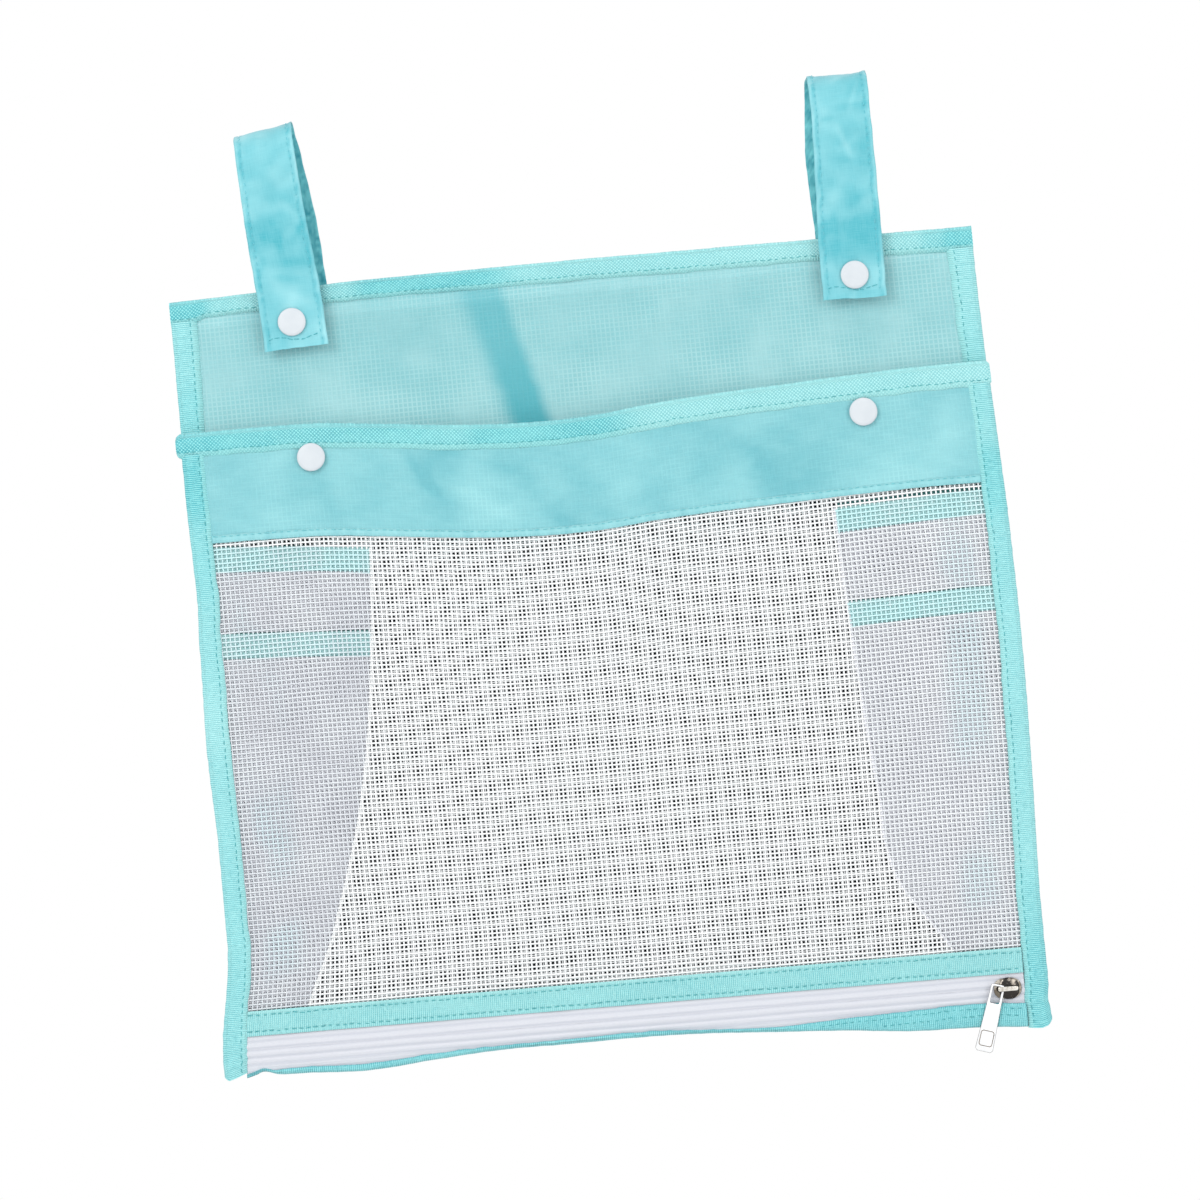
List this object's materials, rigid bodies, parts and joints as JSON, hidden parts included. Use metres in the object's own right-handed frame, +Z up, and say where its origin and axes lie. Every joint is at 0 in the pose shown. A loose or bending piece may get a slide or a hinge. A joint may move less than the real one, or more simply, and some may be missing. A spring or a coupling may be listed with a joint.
{
  "type": "hanging mesh toy bag",
  "caption": "Flat mesh bag with bound edges, snap hanging loops, a wide snapped mouth, folded side gussets and a zip along the lower edge.",
  "frame": {"origin": "the point where the rail bears, midway between the inner tops of the two hanging loops", "axes": "+Z up along the hanging bag, +X to the right as seen from the front, the front with the mouth and zip faces -Y"},
  "size_m": [0.3644, 0.0279, 0.4324],
  "materials": {
    "mesh": "white coated polyester mesh",
    "taffeta": "thin woven polyester, slightly sheer",
    "lining": "thin woven polyester, slightly sheer",
    "tape": "woven binding tape",
    "zip_tape": "white woven zip tape",
    "coil": "white nylon coil",
    "snap": "satin moulded",
    "nickel": "polished nickel plate"
  },
  "bodies": {
    "back_panel": {"back_mesh": "mesh", "back_lining": "lining", "top_binding": "tape", "left_back_binding": "tape", "right_back_binding": "tape", "bottom_back_binding": "tape", "left_strap_back": "taffeta", "right_strap_back": "taffeta", "left_strap_snap_stud": "snap", "left_strap_snap_back_cap": "snap", "right_strap_snap_stud": "snap", "right_strap_snap_back_cap": "snap", "left_mouth_snap_stud": "snap", "left_mouth_snap_back_cap": "snap", "right_mouth_snap_stud": "snap", "right_mouth_snap_back_cap": "snap", "left_gusset": "mesh", "left_gusset_upper_tape": "tape", "left_gusset_lower_tape": "tape", "right_gusset": "mesh", "right_gusset_upper_tape": "tape", "right_gusset_lower_tape": "tape"},
    "front_panel": {"front_mesh": "mesh", "front_band": "taffeta", "mouth_binding": "tape", "left_front_binding": "tape", "right_front_binding": "tape", "zip_trim": "tape", "zip_upper_tape": "zip_tape", "zip_lower_tape": "zip_tape", "zip_upper_coil": "coil", "zip_lower_coil": "coil", "bottom_front_binding": "tape", "left_mouth_snap_cap": "snap", "left_mouth_snap_socket": "snap", "right_mouth_snap_cap": "snap", "right_mouth_snap_socket": "snap"},
    "left_strap": {"left_strap_front": "taffeta", "left_strap_snap_cap": "snap", "left_strap_snap_socket": "snap"},
    "right_strap": {"right_strap_front": "taffeta", "right_strap_snap_cap": "snap", "right_strap_snap_socket": "snap"},
    "slider": {"slider_body": "nickel"},
    "pull": {"zip_pull": "nickel"}
  },
  "joints": [
    {"name": "mouth_open", "type": "hinge", "parent": "back_panel", "child": "front_panel", "pos_m": [0, -0.0071, -0.42225], "axis": [0.9999, 0, -0.0128], "range_deg": [0, 30], "deforming": ["left_gusset", "left_gusset_upper_tape", "left_gusset_lower_tape", "right_gusset", "right_gusset_upper_tape", "right_gusset_lower_tape"]},
    {"name": "left_strap_open", "type": "hinge", "parent": "back_panel", "child": "left_strap", "pos_m": [-0.1284, -0.0138, -0.01315], "axis": [-1, 0, 0], "range_deg": [0, 170]},
    {"name": "right_strap_open", "type": "hinge", "parent": "back_panel", "child": "right_strap", "pos_m": [0.1237, -0.0138, -0.01315], "axis": [-1, 0, 0], "range_deg": [0, 170]},
    {"name": "zip_slide", "type": "slide", "parent": "front_panel", "child": "slider", "axis": [-0.9999, 0, 0.0128], "range_m": [0, 0.31]},
    {"name": "pull_swing", "type": "hinge", "parent": "slider", "child": "pull", "pos_m": [0.15655, -0.01, -0.40425], "axis": [0, 1, 0], "range_deg": [-55, 73]}
  ]
}
